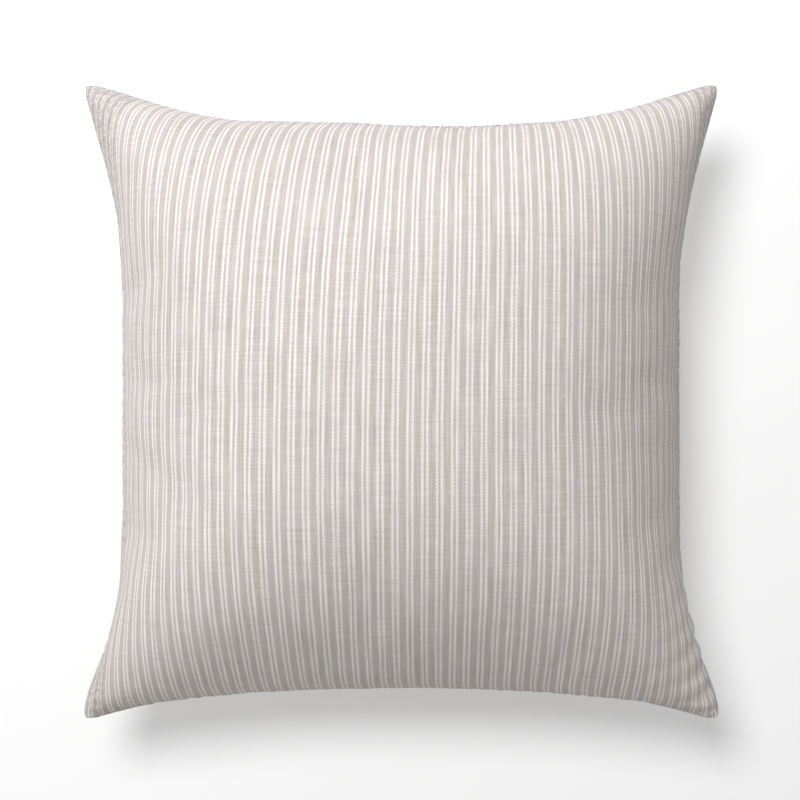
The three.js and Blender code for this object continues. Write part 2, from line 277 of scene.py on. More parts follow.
# moves cut positions near a corner on to a rounded corner
def roundTips(a, b):
    size = panel["tipRounding"]
    straight = halfCut - size
    s = np.clip((np.abs(a) - straight) / size, 0, 1)
    t = np.clip((np.abs(b) - straight) / size, 0, 1)
    na = np.where(s > 0, straight + size * s * np.sqrt(1 - t ** 2 / 2), np.abs(a))
    nb = np.where(t > 0, straight + size * t * np.sqrt(1 - s ** 2 / 2), np.abs(b))
    return np.sign(a) * na, np.sign(b) * nb


def cutGrid(cells):
    lines = clothLines(cells)
    return roundTips(*np.meshgrid(lines, lines, indexing="ij"))


# smooth (Catmull-Rom) value of a simulated grid at cut positions a, b
def sampleGrid(grid, a, b):
    n = grid.shape[0] - 1
    padded = np.pad(grid, ((1, 1), (1, 1), (0, 0)), mode="reflect", reflect_type="odd")
    x = (a / cloth["cutSize"] + 0.5) * n
    y = (b / cloth["cutSize"] + 0.5) * n
    i = np.clip(np.floor(x).astype(int), 0, n - 1)
    j = np.clip(np.floor(y).astype(int), 0, n - 1)

    def weights(t):
        return [(-t ** 3 + 2 * t ** 2 - t) / 2, (3 * t ** 3 - 5 * t ** 2 + 2) / 2,
                (-3 * t ** 3 + 4 * t ** 2 + t) / 2, (t ** 3 - t ** 2) / 2]

    wx, wy = weights(x - i), weights(y - j)
    value = np.zeros(a.shape + (3,))
    for p in range(4):
        for q in range(4):
            value += (wx[p] * wy[q])[..., None] * padded[i + p, j + q]
    return value


def gridNormals(points, sheet):
    du = np.gradient(points, axis=0)
    dv = np.gradient(points, axis=1)
    normal = np.cross(du, dv) * sheet
    return normal / np.maximum(np.linalg.norm(normal, axis=-1, keepdims=True), 1e-9)


# keeps z above the floor, with a soft shoulder
def softFloor(z, floor):
    blend = panel["restBlend"]
    shoulder = floor + blend * np.logaddexp(0, (z - floor) / blend) - panel["restPress"]
    return np.maximum(shoulder, floor)


def seamDistance(a, b):
    return np.minimum(halfCut - np.abs(a), halfCut - np.abs(b))


pucker = {
    "height": 0.45 * mm,    # gathers all along the seams
    "length": 13 * mm,
    "rise": 4 * mm,         # where they start, in from the seam
    "fade": 16 * mm,        # and how far they run
    "waver": 38,            # their spacing swells and shrinks, in radians per metre
    "swell": 23,            # and so does their height
    "fineHeight": 0.30 * mm,  # small ones between the stitches
    "fineLength": 8 * mm,
    "fineRise": 2 * mm,
    "fineFade": 9 * mm,
    "fineWaver": 61,
    "tipHeight": 1.5 * mm,  # deeper ones by the tip at +x, towards the zip
    "tipLength": 21 * mm,
    "tipRise": 5 * mm,
    "tipFade": 26 * mm,
    "tipStart": 120 * mm,   # from here down they grow
    "tipGrow": 70 * mm,
    "tipEnd": 14 * mm,
    "tipSlant": 0.35,
}


# height of the gathers over the smooth panel, along the normal
def puckerHeight(a, b, sheet):
    total = np.zeros_like(a)
    for along, across, phase in ((a, b, 0.0), (b, a, 1.7)):
        for end in (-1, 1):
            away = halfCut - end * across
            wave = np.cos(2 * math.pi * along / pucker["length"] + phase + 2.1 * end
                          + 1.9 * np.sin(along * pucker["waver"] + end + phase))
            swell = 0.55 + 0.45 * np.sin(along * pucker["swell"] + phase * 3 + end * 2 + sheet)
            rise = awayShare(away, pucker["rise"])
            total += pucker["height"] * wave * swell * rise * np.exp(-away / pucker["fade"])
            fine = np.cos(2 * math.pi * along / pucker["fineLength"] + 3.1 * end - phase
                          + 2.3 * np.sin(along * pucker["fineWaver"] - end + phase))
            rise = awayShare(away, pucker["fineRise"])
            total += pucker["fineHeight"] * fine * rise * np.exp(-away / pucker["fineFade"])
    away = halfCut - a
    reach = softStep((-b - pucker["tipStart"]) / pucker["tipGrow"])
    reach *= softStep((halfCut + b) / pucker["tipEnd"])
    wave = np.cos(2 * math.pi * (b + pucker["tipSlant"] * away) / pucker["tipLength"] + 0.8)
    rise = awayShare(away, pucker["tipRise"])
    total += pucker["tipHeight"] * wave * reach * rise * np.exp(-away / pucker["tipFade"])
    return total


# how far the fill pushes a wall out; across and along run from 0 to 1 at a seam
def wallPush(across, along, rollSize):
    start, full, end = panel["fullnessBand"]
    wall = softStep((across - start) / (full - start)) * (1 - softStep((across - end) / (1 - end)))
    wall = panel["fullness"] * wall * np.exp(-(along / panel["fullnessReach"]) ** 2)
    away = halfCut * (1 - across)
    roll = awayShare(away, panel["rollStart"]) * np.exp(-(away / panel["rollFade"]) ** 2)
    return wall + rollSize * roll * (1 - along ** 3)


zipper = {
    "slitHalf": 0.72 * mm,  # half the width between the two lips
    "lipDepth": 2.2 * mm,
    "mouthEnd": 164 * mm,   # the lips open to here, to each side
    "grooveEnd": 180 * mm,  # and lie deep to here, for the pull tab
    "blend": 14 * mm,
    "allowance": 10 * mm,
}


# 1 along the zipped seam as far as an end, 0 past it
def zipShare(a, end):
    x = planPoint(a / halfCut, np.full_like(a, -1.0))[0]
    return softStep((end + zipper["blend"] / 2 - np.abs(x)) / zipper["blend"])


# how deep the seam lies, at cut positions near it
def grooveDepth(a, b):
    deeper = outline["lipRoll"] - panel["groove"]
    zipped = zipShare(a, zipper["grooveEnd"]) * (b < 0) * (np.abs(b) > np.abs(a))
    return panel["groove"] + deeper * zipped


# where the weave was pulled askew when the cover was sewn, in mm, each a curve up the
# panel: its value at the middle, then what v, v squared and v cubed add
askew = {
    "shift": (0.6, -3.5, -11, -1.7),
    "spread": (5, 9, -15, -6),
    "lean": (3, 5, -2, 0),
    "bow": (1.5, -16, 33, 30),
    "seamDrag": 6,          # by the top seam's -x half the stripes bend towards +x
    "seamDragReach": 15,
    "zipDrag": 5,           # by the zipped seam they bend towards +x
    "zipDragReach": 11,
    "zipDragEnd": 0.85,     # of the half seam
    "dragBlend": 0.3,
}


# how far along x the pattern has slipped over the panel
def slip(a, b, sheet):
    u, v = np.clip(a / halfCut, -1, 1), np.clip(b / halfCut, -1, 1)
    shift, spread, lean, bow = [sum(term * v ** power for power, term in enumerate(askew[label]))
                                for label in ("shift", "spread", "lean", "bow")]
    total = shift + spread * u + lean * u ** 2 + bow * u ** 3
    fade = np.exp(-(halfCut * (1 - v) / (askew["seamDragReach"] * mm)) ** 1.5)
    total -= askew["seamDrag"] * fade * softStep(-u / askew["dragBlend"])
    fade = np.exp(-(halfCut * (1 + v) / (askew["zipDragReach"] * mm)) ** 1.5)
    fade *= softStep((askew["zipDragEnd"] - np.abs(u)) / askew["dragBlend"])
    total -= askew["zipDrag"] * fade
    return total * mm * (sheet > 0)


# the outer face of one panel of the cover, and the cut position of each point in it
def coverFace(grid, sheet, cells):
    a, b = cutGrid(cells)
    points = sampleGrid(grid, a, b)
    points[..., 2] *= crownHeight / np.abs(grid[..., 2]).max()
    points += gridNormals(points, sheet) * puckerHeight(a, b, sheet)[..., None]
    u, v = a / halfCut, b / halfCut
    face = 0 if sheet > 0 else 1
    endRoll = np.where(v > 0, panel["topRoll"][face], panel["zipRoll"][face])
    points[..., 0] += np.sign(u) * wallPush(np.abs(u), np.abs(v), panel["sideRoll"][face])
    points[..., 1] += np.sign(v) * wallPush(np.abs(v), np.abs(u), endRoll)
    distance = seamDistance(a, b)
    depth = grooveDepth(a, b)
    opened = (depth - panel["groove"]) / (outline["lipRoll"] - panel["groove"])
    reach = panel["grooveReach"] + (panel["zipGrooveReach"] - panel["grooveReach"]) * opened
    dip = depth * np.exp(-(distance / reach) ** 2)
    byEnd = np.abs(b) > np.abs(a)
    points[..., 0] -= np.sign(a) * dip * (byEnd == 0)
    points[..., 1] -= np.sign(b) * dip * byEnd
    points[..., 2] += sheet * panel["seamHalfGap"] * np.exp(-distance / panel["gapReach"])
    points[..., 0] += panel["lean"] * points[..., 2]
    if sheet < 0:
        points[..., 2] = softFloor(points[..., 2], -seamZ)
    points[..., 2] += seamZ
    return points, np.stack([a, b], -1)


# ids of a grid's edge points in order round it, counter-clockwise from above
def rimOrder(n):
    steps = np.arange(n - 1)
    last = steps * 0 + n - 1
    around = np.concatenate([steps, last, last - steps, steps * 0])
    return around, np.roll(around, n - 1)


def gridQuads(ids):
    return np.stack([ids[:-1, :-1], ids[1:, :-1], ids[1:, 1:], ids[:-1, 1:]], -1).reshape(-1, 4)


def bandQuads(first, second):
    return np.stack([first, second, np.roll(second, -1), np.roll(first, -1)], -1)


def meshPiece(name, points, faces, cut=None):
    mesh = bpy.data.meshes.new(name)
    mesh.from_pydata(points.tolist(), [], faces.tolist())
    if cut is not None:
        layer = mesh.uv_layers.new(name="cut")
        corner = np.zeros(len(mesh.loops), int)
        mesh.loops.foreach_get("vertex_index", corner)
        layer.data.foreach_set("uv", cut[corner].ravel())
    mesh.shade_smooth()
    return placeObject(name, mesh)


# a closed cloth shell: the outer face, the inner face a wall's thickness inside
# it, and the seam allowance turned in between them
def clothShell(name, outer, cut, sheet, wall, rimInset, turnIn, halfGap):
    n = outer.shape[0]
    rows = len(seamRows)
    ri, rj = rimOrder(n)
    rimCut = cut[ri, rj]
    u, v = rimCut[:, 0] / halfCut, rimCut[:, 1] / halfCut
    rimInset = rimInset + grooveDepth(rimCut[:, 0], rimCut[:, 1])
    turnIn, halfGap = turnIn + 0 * u, halfGap + 0 * u

    def ring(inset, height):
        x, y = planPoint(u, v, rimInset + inset)
        return np.stack([x, y, seamZ + sheet * (halfGap + height)], -1)

    inner = outer - gridNormals(outer, sheet) * wall
    level = seamZ + sheet * (halfGap.max() + 1.5 * wall)
    inner[..., 2] = (np.maximum if sheet > 0 else np.minimum)(inner[..., 2], level)
    inner[ri, rj] = ring(wall, wall)
    # beside the rim the inner wall runs straight, first along x and then along y
    for side in (inner, inner.transpose(1, 0, 2)):
        for k in range(1, rows - 1):
            t = seamRows[k] / seamRows[-1]
            side[k] = (1 - t) * side[0] + t * side[rows - 1]
            side[-1 - k] = (1 - t) * side[-1] + t * side[-rows]
    inner[ri, rj] = ring(wall, wall)

    steps = (0.25, 0.6, 1.0)    # rings of points across the seam allowance
    rings = [ring(step * turnIn, 0) for step in steps]
    rings += [ring(step * turnIn, wall) for step in steps[::-1]]
    outward = np.stack([(ri == n - 1) * 1.0 - (ri == 0), (rj == n - 1) * 1.0 - (rj == 0)], -1)
    ringCut = [rimCut + outward * (step * turnIn)[:, None] for step in steps + steps[::-1]]
    points = np.concatenate([outer.reshape(-1, 3), inner.reshape(-1, 3)] + rings)
    allCut = np.concatenate([cut.reshape(-1, 2)] * 2 + ringCut)
    allCut[:, 0] += slip(allCut[:, 0], allCut[:, 1], sheet)
    outerIds = np.arange(n * n).reshape(n, n)
    innerIds = outerIds + n * n
    faces = [gridQuads(outerIds), gridQuads(innerIds)[:, ::-1]]
    chain = [outerIds[ri, rj]]
    chain += [2 * n * n + k * len(ri) + np.arange(len(ri)) for k in range(len(rings))]
    chain += [innerIds[ri, rj]]
    faces += [bandQuads(first, second) for first, second in zip(chain, chain[1:])]
    faces = np.concatenate(faces)
    return meshPiece(name, points, faces if sheet > 0 else faces[:, ::-1], allCut)


def coverPiece(grid, sheet, name):
    outer, cut = coverFace(grid, sheet, panel["cells"])
    ri, rj = rimOrder(outer.shape[0])
    rimCut = cut[ri, rj]
    opened = zipShare(rimCut[:, 0], zipper["mouthEnd"]) * (rj == 0)
    turnIn = zipper["allowance"] + (zipper["lipDepth"] - zipper["allowance"]) * opened
    halfGap = panel["seamHalfGap"] + (zipper["slitHalf"] - panel["seamHalfGap"]) * opened
    outer[ri, rj, 2] = seamZ + sheet * halfGap
    return clothShell(name, outer, cut, sheet, panel["wall"], 0, turnIn, halfGap)


weave = {
    "stripePeriods": 50,
    "phase": 0.26,          # of one period
    "stripeWidth": 0.175,   # of one period, each white stripe
    "pairSpacing": 0.335,   # centre to centre in a pair
    "softEdge": 0.05,
    "threadPitch": 0.47 * mm,
    "checkPitch": 1.2 * mm,  # the threads lie in twos
    "ground": (0.443, 0.398, 0.383),
    "oatmeal": (0.437, 0.397, 0.361),  # the ground's yellower patches
    "white": (0.715, 0.678, 0.665),
    "crinkleReach": 17 * mm,  # the threads waver this far in from a seam, and painted shade darkens the gathers as far
    "crinkleSize": 4.5 * mm,
    "crinklePull": 2.6 * mm,
    "wander": 0.7 * mm,     # how far a stripe strays, slowly along it
    "jitter": 0.5 * mm,     # and thread by thread
    "patchSize": 22 * mm,   # the check shows more in some patches
    "warpTone": 0.60,       # how unevenly the lengthwise yarns are dyed
    "weftTone": 0.38,       # and the crosswise ones
    "baseTone": 0.51,
}


def newMaterial(name):
    material = bpy.data.materials.new(name)
    material.use_nodes = True
    return material, material.node_tree, material.node_tree.nodes["Principled BSDF"]


# links a socket, or a node's first output, or sets a plain value
def put(tree, socket, value):
    if isinstance(value, bpy.types.Node):
        value = value.outputs[0]
    if isinstance(value, bpy.types.NodeSocket):
        tree.links.new(value, socket)
    else:
        socket.default_value = value


# a node with its own settings, its sockets linked or given a value
def addNode(tree, kind, inputs={}, **settings):
    node = tree.nodes.new(kind)
    for label, value in settings.items():
        setattr(node, label, value)
    for label, value in inputs.items():
        put(tree, node.inputs[label], value)
    return node


def mathNode(tree, operation, *values, clamp=False):
    inputs = dict(enumerate(values))
    return addNode(tree, "ShaderNodeMath", inputs, operation=operation, use_clamp=clamp).outputs[0]


# base, plus each value times its share
def addedUp(tree, base, *parts):
    for value, share in parts:
        base = mathNode(tree, "MULTIPLY_ADD", value, share, base)
    return base


def mixColour(tree, factor, first, second, blend="MIX"):
    inputs = {0: factor, 6: first, 7: second}
    return addNode(tree, "ShaderNodeMix", inputs, data_type="RGBA", blend_type=blend).outputs[2]


def noiseValue(tree, vector, scale=1.0, detail=2.0):
    inputs = {"Vector": vector, "Scale": scale, "Detail": detail}
    return addNode(tree, "ShaderNodeTexNoise", inputs).outputs["Fac"]


def stretched(tree, vector, factors):
    return addNode(tree, "ShaderNodeVectorMath", {0: vector, 1: factors},
                   operation="MULTIPLY").outputs[0]


def ramp(tree, value, low, high, start=0.0, end=1.0):
    inputs = {"Value": value, "From Min": low, "From Max": high, "To Min": start, "To Max": end}
    return addNode(tree, "ShaderNodeMapRange", inputs, interpolation_type="SMOOTHSTEP").outputs[0]


# the shader's colour, made lighter and darker by an added-up tone
def tint(tree, shader, colour, base, *parts):
    tone = addedUp(tree, base, *parts)
    grey = addNode(tree, "ShaderNodeCombineColor", {0: tone, 1: tone, 2: tone}).outputs[0]
    put(tree, shader.inputs["Base Color"], mixColour(tree, 1.0, colour, grey, "MULTIPLY"))


def setShader(shader, values):
    for label, value in values.items():
        shader.inputs[label].default_value = value


def bumpFrom(tree, shader, height, strength, distance):
    bump = addNode(tree, "ShaderNodeBump",
                   {"Strength": strength, "Distance": distance, "Height": height})
    put(tree, shader.inputs["Normal"], bump.outputs[0])


def cutCoordinates(tree):
    uv = addNode(tree, "ShaderNodeUVMap", uv_map="cut")
    parts = addNode(tree, "ShaderNodeSeparateXYZ", {0: uv.outputs[0]})
    return uv.outputs[0], parts.outputs[0], parts.outputs[1]


def objectCoordinates(tree):
    return tree.nodes.new("ShaderNodeTexCoord").outputs["Object"]


# noise drawn out along the threads, so many turns per metre each way
def streaks(tree, cut, alongX, alongY, detail=1.0):
    return noiseValue(tree, stretched(tree, cut, (alongX, alongY, 1)), 1.0, detail)


# runs between 1 and -1 where crossing threads lie over and under
def crossing(tree, ways, pitch):
    waves = [mathNode(tree, "SINE", mathNode(tree, "MULTIPLY", way, math.pi / pitch))
             for way in ways]
    return mathNode(tree, "MULTIPLY", *waves)


def stripedCloth():
    material, tree, shader = newMaterial("stripedCloth")
    cut, a, b = cutCoordinates(tree)
    calc = partial(mathNode, tree)
    clothNoise = partial(streaks, tree, cut)

    near = [calc("SUBTRACT", halfCut, calc("ABSOLUTE", way)) for way in (a, b)]
    bySeam = ramp(tree, calc("MINIMUM", *near), 0, weave["crinkleReach"], 1.0, 0.0)
    crinkle = noiseValue(tree, cut, 1 / weave["crinkleSize"], 1.0)
    pull = calc("MULTIPLY", calc("MULTIPLY", bySeam, weave["crinklePull"]),
                calc("SUBTRACT", crinkle, 0.5))
    wander = addedUp(tree, -(weave["wander"] + weave["jitter"]) / 2,
                     (clothNoise(60, 9), weave["wander"]),
                     (clothNoise(140, 260), weave["jitter"]))
    shifted = calc("ADD", calc("ADD", a, wander), pull)
    period = cloth["cutSize"] / weave["stripePeriods"]
    turn = calc("FRACT", calc("ADD", calc("DIVIDE", shifted, period), 100.5 - weave["phase"]))
    offCentre = calc("ABSOLUTE", calc("SUBTRACT", turn, 0.5))
    fromStripe = calc("ABSOLUTE", calc("SUBTRACT", offCentre, weave["pairSpacing"] / 2))
    inStripe = ramp(tree, fromStripe, weave["stripeWidth"] / 2 - weave["softEdge"],
                    weave["stripeWidth"] / 2 + weave["softEdge"], 1.0, 0.0)

    over = crossing(tree, (a, b), weave["threadPitch"])
    patches = ramp(tree, noiseValue(tree, cut, 1 / weave["patchSize"]), 0.38, 0.62, 0.25, 1.0)
    check = calc("MULTIPLY", crossing(tree, (a, b), weave["checkPitch"]), patches)
    bothOver = calc("MULTIPLY_ADD", over, 0.5, calc("MULTIPLY", check, 1.9))

    warpTone = clothNoise(1 / (0.9 * mm), 26)
    weftTone = clothNoise(34, 1 / (0.8 * mm))
    slubs = ramp(tree, clothNoise(150, 1 / (0.75 * mm), 0.0), 0.75, 0.83)
    warmth = ramp(tree, clothNoise(95, 22, 2.0), 0.42, 0.62)

    # where both threads lie on top, the ground is lighter and the white is duller
    ground = mixColour(tree, warmth, (*weave["ground"], 1), (*weave["oatmeal"], 1))
    light = mixColour(tree, 1.0, ground, (1.34, 1.34, 1.35, 1), "MULTIPLY")
    white = (*weave["white"], 1)
    dulled = (*[0.82 * c for c in weave["white"]], 1)
    share = calc("MULTIPLY_ADD", bothOver, 0.36, 0.28, clamp=True)
    groundYarn = mixColour(tree, share, ground, light)
    share = calc("MULTIPLY_ADD", bothOver, 0.22, 0.16, clamp=True)
    whiteYarn = mixColour(tree, share, white, dulled)
    yarn = mixColour(tree, inStripe, groundYarn, whiteYarn)
    yarn = mixColour(tree, calc("MULTIPLY", slubs, 0.6), yarn, white)
    tone = addedUp(tree, weave["baseTone"], (warpTone, weave["warpTone"]),
                   (weftTone, weave["weftTone"]))
    # painted shade: the cloth is darkened in the gathers along the seams, most where the crinkle dips
    paintedCreaseShade = calc("MULTIPLY", bySeam, ramp(tree, crinkle, 0.35, 0.6, 0.24, 0.06))
    tint(tree, shader, yarn, calc("SUBTRACT", tone, paintedCreaseShade))

    fine = calc("MULTIPLY_ADD", weftTone, 0.6, calc("MULTIPLY", over, 0.5))
    deep = calc("MULTIPLY", crinkle, calc("MULTIPLY", bySeam, 5.0))
    bumpFrom(tree, shader, calc("ADD", fine, deep), 0.4, 0.25 * mm)
    setShader(shader, {"Roughness": 0.92, "Specular IOR Level": 0.2, "Sheen Weight": 0.15,
                       "Sheen Roughness": 0.5})
    return material


threadLook = {
    "cover": (0.66, 0.59, 0.53),
    "lining": (0.86, 0.85, 0.83),
    "twist": 0.45 * mm,
}


def spunThread(name, colour):
    material, tree, shader = newMaterial(name)
    place = objectCoordinates(tree)
    ply = noiseValue(tree, place, 1 / threadLook["twist"], 1.0)
    fade = noiseValue(tree, place, 60, 2.0)
    tint(tree, shader, (*colour, 1), 0.70, (ply, 0.35), (fade, 0.20))
    bumpFrom(tree, shader, ply, 0.6, 0.12 * mm)
    setShader(shader, {"Roughness": 0.7, "Sheen Weight": 0.3})
    return material


liningLook = {"colour": (0.87, 0.86, 0.84), "pitch": 0.36 * mm, "yarn": 0.7 * mm, "cloud": 40 * mm}


# plain weave of fine white yarn
def plainLining():
    material, tree, shader = newMaterial("plainLining")
    cut, a, b = cutCoordinates(tree)
    over = crossing(tree, (a, b), liningLook["pitch"])
    fineness = 1 / liningLook["yarn"]
    warp = streaks(tree, cut, fineness, 12)
    weft = streaks(tree, cut, 12, fineness)
    cloud = noiseValue(tree, cut, 1 / liningLook["cloud"], 3.0)
    tint(tree, shader, (*liningLook["colour"], 1), 0.86,
         (over, 0.05), (warp, 0.07), (weft, 0.07), (cloud, 0.08))
    bumpFrom(tree, shader, mathNode(tree, "ADD", over, weft), 0.3, 0.12 * mm)
    setShader(shader, {"Roughness": 0.9, "Sheen Weight": 0.2})
    return material


tapeLook = {"colour": (0.36, 0.29, 0.25), "rib": 0.9 * mm, "yarn": 0.5 * mm, "turn": 1.4 * mm}


# the woven zip tape's herringbone, its slant turning back and forth across it
def herringboneTape():
    material, tree, shader = newMaterial("herringboneTape")
    cut, a, b = cutCoordinates(tree)
    calc = partial(mathNode, tree)
    slant = calc("ADD", a, calc("PINGPONG", b, tapeLook["turn"]))
    rib = calc("SINE", calc("MULTIPLY", slant, 2 * math.pi / tapeLook["rib"]))
    yarn = calc("SINE", calc("MULTIPLY", b, 2 * math.pi / tapeLook["yarn"]))
    relief = calc("MULTIPLY_ADD", yarn, 0.4, rib)
    fade = noiseValue(tree, cut, 1 / (6 * mm), 2.0)
    tint(tree, shader, (*tapeLook["colour"], 1), 0.85, (relief, 0.10), (fade, 0.25))
    bumpFrom(tree, shader, relief, 0.5, 0.15 * mm)
    setShader(shader, {"Roughness": 0.85, "Sheen Weight": 0.25})
    return material


coilLook = {"colour": (0.42, 0.35, 0.30), "streak": 2.5 * mm}


def coilNylon():
    material, tree, shader = newMaterial("coilNylon")
    streak = noiseValue(tree, objectCoordinates(tree), 1 / coilLook["streak"], 2.0)
    tint(tree, shader, (*coilLook["colour"], 1), 0.82, (streak, 0.3))
    put(tree, shader.inputs["Roughness"], mathNode(tree, "MULTIPLY_ADD", streak, 0.2, 0.25))
    bumpFrom(tree, shader, streak, 0.15, 0.05 * mm)
    setShader(shader, {"Subsurface Weight": 0.1, "Subsurface Scale": 0.5 * mm})
    return material


metalLook = {"paint": (0.40, 0.34, 0.29), "bare": (0.62, 0.60, 0.58), "speck": 0.9 * mm}


# baked enamel on die-cast zinc, rubbed bright in small worn spots
def enamelledZinc():
    material, tree, shader = newMaterial("enamelledZinc")
    place = objectCoordinates(tree)
    wear = ramp(tree, noiseValue(tree, place, 1 / metalLook["speck"], 3.0), 0.66, 0.74)
    peel = noiseValue(tree, place, 1 / (0.5 * mm), 2.0)
    put(tree, shader.inputs["Base Color"],
        mixColour(tree, wear, (*metalLook["paint"], 1), (*metalLook["bare"], 1)))
    put(tree, shader.inputs["Metallic"], mathNode(tree, "MULTIPLY", wear, 0.9))
    put(tree, shader.inputs["Roughness"], mathNode(tree, "MULTIPLY_ADD", peel, 0.25, 0.22))
    bumpFrom(tree, shader, peel, 0.12, 0.05 * mm)
    setShader(shader, {"Coat Weight": 0.3, "Coat Roughness": 0.25})
    return material


fibreLook = {"colour": (0.93, 0.93, 0.92), "strand": 1.1 * mm, "tuft": 16 * mm, "bend": 20 * mm}


def polyesterFibre():
    material, tree, shader = newMaterial("polyesterFibre")
    place = objectCoordinates(tree)
    bend = addNode(tree, "ShaderNodeTexNoise", {"Vector": place, "Scale": 1 / fibreLook["tuft"]})
    inputs = {0: bend.outputs["Color"], 1: (fibreLook["bend"],) * 3, 2: place}
    pushed = addNode(tree, "ShaderNodeVectorMath", inputs, operation="MULTIPLY_ADD").outputs[0]
    strand = noiseValue(tree, stretched(tree, pushed, (1.0, 0.25, 0.6)), 1 / fibreLook["strand"], 4.0)
    tuft = noiseValue(tree, place, 1 / fibreLook["tuft"], 3.0)
    tint(tree, shader, (*fibreLook["colour"], 1), 0.76, (strand, 0.22), (tuft, 0.18))
    bumpFrom(tree, shader, strand, 0.9, 0.8 * mm)
    setShader(shader, {"Roughness": 1.0, "Sheen Weight": 0.5})
    return material


# a node tree that sets one small piece after another along a path
def runTree(name, sizes, addShape):
    tree = bpy.data.node_groups.new(name, "GeometryNodeTree")
    face = tree.interface
    inputs = [(label, "Float") for label in ("Pitch", "Lean", "Unevenness") + sizes]
    for label, kind in [("Path", "Geometry")] + inputs + [("Seed", "Int"), ("Material", "Material")]:
        face.new_socket(label, in_out="INPUT", socket_type="NodeSocket" + kind)
    face.new_socket("Pieces", in_out="OUTPUT", socket_type="NodeSocketGeometry")
    given = tree.nodes.new("NodeGroupInput").outputs

    curve = addNode(tree, "GeometryNodeMeshToCurve", {"Mesh": given["Path"]})
    points = addNode(tree, "GeometryNodeCurveToPoints",
                     {"Curve": curve, "Length": given["Pitch"]}, mode="LENGTH")
    along = addNode(tree, "FunctionNodeAlignRotationToVector",
                    {"Vector": points.outputs["Tangent"]}, axis="Y", pivot_axis="Z")
    tilt = addNode(tree, "FunctionNodeRandomValue", {"Seed": given["Seed"]}, data_type="FLOAT")
    least, most = [socket for socket in tilt.inputs if socket.type == "VALUE"][:2]
    put(tree, least, mathNode(tree, "SUBTRACT", given["Lean"], given["Unevenness"]))
    put(tree, most, mathNode(tree, "ADD", given["Lean"], given["Unevenness"]))
    angle = [socket for socket in tilt.outputs if socket.type == "VALUE"][0]
    spin = addNode(tree, "FunctionNodeAxisAngleToRotation", {"Axis": (0, 0, 1), "Angle": angle})
    turned = addNode(tree, "FunctionNodeRotateRotation",
                     {"Rotation": along, "Rotate By": spin}, rotation_space="LOCAL")
    section = addNode(tree, "GeometryNodeCurvePrimitiveCircle",
                      {"Resolution": 6, "Radius": given["Thread"]})
    body = addNode(tree, "GeometryNodeCurveToMesh",
                   {"Curve": addShape(tree, given), "Profile Curve": section, "Fill Caps": True})
    spread = addNode(tree, "GeometryNodeInstanceOnPoints",
                     {"Points": points.outputs["Points"], "Instance": body, "Rotation": turned})
    real = addNode(tree, "GeometryNodeRealizeInstances", {"Geometry": spread})
    finish = addNode(tree, "GeometryNodeSetMaterial",
                     {"Geometry": real, "Material": given["Material"]})
    addNode(tree, "NodeGroupOutput", {"Pieces": finish})
    return tree


# a short raised stitch that dips into the cloth at both ends
def stitchShape(tree, given):
    ends = [addNode(tree, "ShaderNodeCombineXYZ",
                    {"Y": mathNode(tree, "MULTIPLY", given["Length"], way)})
            for way in (-0.5, 0.5)]
    top = addNode(tree, "ShaderNodeCombineXYZ", {"Z": given["Rise"]})
    inputs = {"Resolution": 5, "Start": ends[0], "Middle": top, "End": ends[1]}
    return addNode(tree, "GeometryNodeCurveQuadraticBezier", inputs)


# an oval loop standing across the path
def loopShape(tree, given):
    ring = addNode(tree, "GeometryNodeCurvePrimitiveCircle", {"Resolution": 12, "Radius": 0.5})
    size = addNode(tree, "ShaderNodeCombineXYZ", {"X": given["Depth"], "Y": given["Width"], "Z": 1.0})
    oval = addNode(tree, "GeometryNodeTransform", {"Geometry": ring, "Scale": size})
    return addNode(tree, "GeometryNodeTransform",
                   {"Geometry": oval, "Rotation": (math.pi / 2, 0, 0)})


def turnFacesOut(mesh):
    solid = bmesh.new()
    solid.from_mesh(mesh)
    if solid.calc_volume(signed=True) < 0:
        bmesh.ops.reverse_faces(solid, faces=solid.faces)
    solid.to_mesh(mesh)
    solid.free()


def growAlong(name, tree, path, closed, material, **sizes):
    count = len(path)
    edges = [(k, (k + 1) % count) for k in range(count if closed else count - 1)]
    mesh = bpy.data.meshes.new("path")
    mesh.from_pydata(path.tolist(), edges, [])
    holder = bpy.data.objects.new("path", mesh)
    modifier = holder.modifiers.new("run", "NODES")
    modifier.node_group = tree
    values = dict(sizes, Material=material)
    for item in tree.interface.items_tree:
        if item.in_out == "INPUT" and item.name in values:
            modifier[item.identifier] = values[item.name]
    scene.collection.objects.link(holder)
    grown = bpy.data.meshes.new_from_object(evaluated(holder))
    bpy.data.objects.remove(holder)
    bpy.data.meshes.remove(mesh)
    turnFacesOut(grown)
    grown.shade_smooth()
    grown.name = name
    return placeObject(name, grown)


def declare(piece, node, body="pillow"):
    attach(piece, body)
    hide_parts(node)
    print("made", piece.name)


# points round the seam, drawn in by inset, from one end of the zip to the other
def seamPath(inset, height, wholeWay):
    side = np.linspace(-halfCut, halfCut, 240)[:-1]
    edge = np.full_like(side, halfCut)
    a = np.concatenate([side, edge, -side, -edge])
    b = np.roll(a, len(side))
    zipped = (zipShare(a, zipper["mouthEnd"]) > 0.02) & (b < -halfCut + 1e-6)
    a, b = roundTips(a, b)
    x, y = planPoint(a / halfCut, b / halfCut, inset + grooveDepth(a, b))
    path = np.stack([x, y, np.full_like(x, seamZ + height)], -1)
    if wholeWay:
        return path
    start = np.flatnonzero(zipped).max() + 1
    kept = np.roll(path, -start, axis=0)
    return kept[: len(path) - zipped.sum()]


